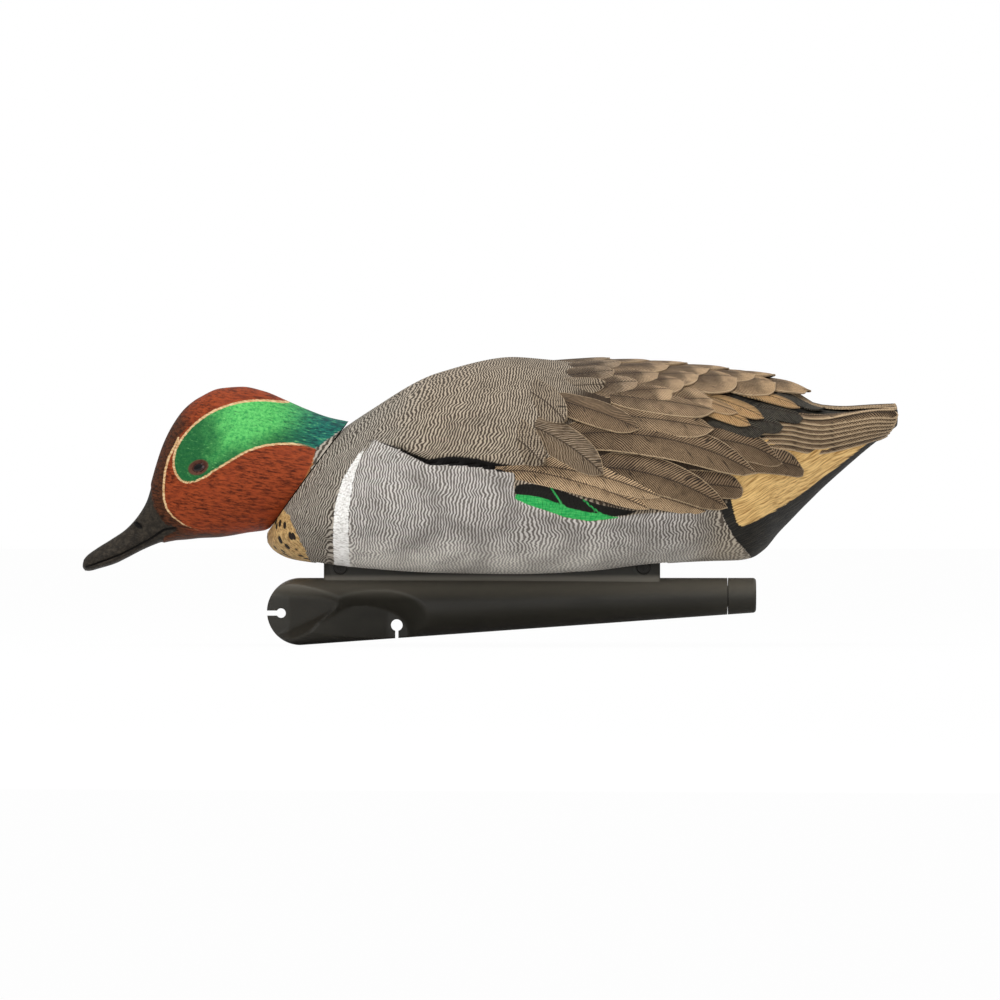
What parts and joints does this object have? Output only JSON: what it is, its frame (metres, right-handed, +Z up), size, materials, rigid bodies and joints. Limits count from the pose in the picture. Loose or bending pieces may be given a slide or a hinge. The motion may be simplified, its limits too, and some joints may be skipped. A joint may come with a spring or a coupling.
{
  "type": "floating duck decoy",
  "caption": "Floating teal decoy: hollow painted hull with a swivelling head, and a sand-weighted keel with two keyhole ties for an anchor line.",
  "frame": {"origin": "on the waterline in the centre plane, above the middle of the keel web", "axes": "+X towards the tail, +Y towards the duck's right side, +Z up out of the water"},
  "size_m": [0.3051, 0.116, 0.1088],
  "materials": {
    "hull_paint": "matt paint on rubberised polyethylene, moulded feathers",
    "head_paint": "matt chestnut and green paint on rubberised polyethylene",
    "eye_gloss": "gloss dark brown",
    "keel_plastic": "moulded olive black polyethylene",
    "plug_rubber": "soft black",
    "screw_steel": "stainless",
    "sand": "dry grains",
    "foam": "closed-cell foam"
  },
  "bodies": {
    "hull": {"body_shell": "hull_paint", "hull_plug": "plug_rubber", "keel_shell": "keel_plastic", "keel_screws": "screw_steel", "ballast_sand": "sand", "ballast_divider": "foam"},
    "head": {"head_shell": "head_paint", "left_eye": "eye_gloss", "right_eye": "eye_gloss"},
    "end_plug": {"keel_end_plug": "keel_plastic"}
  },
  "joints": [
    {"name": "head_swivel", "type": "hinge", "parent": "hull", "child": "head", "pos_m": [-0.06826, 0, 0.0242], "axis": [-0.8059, 0, 0.592], "range_deg": [-40, 40]},
    {"name": "end_plug_pull", "type": "slide", "parent": "hull", "child": "end_plug", "axis": [1, 0, 0], "range_m": [0, 0.015]}
  ]
}
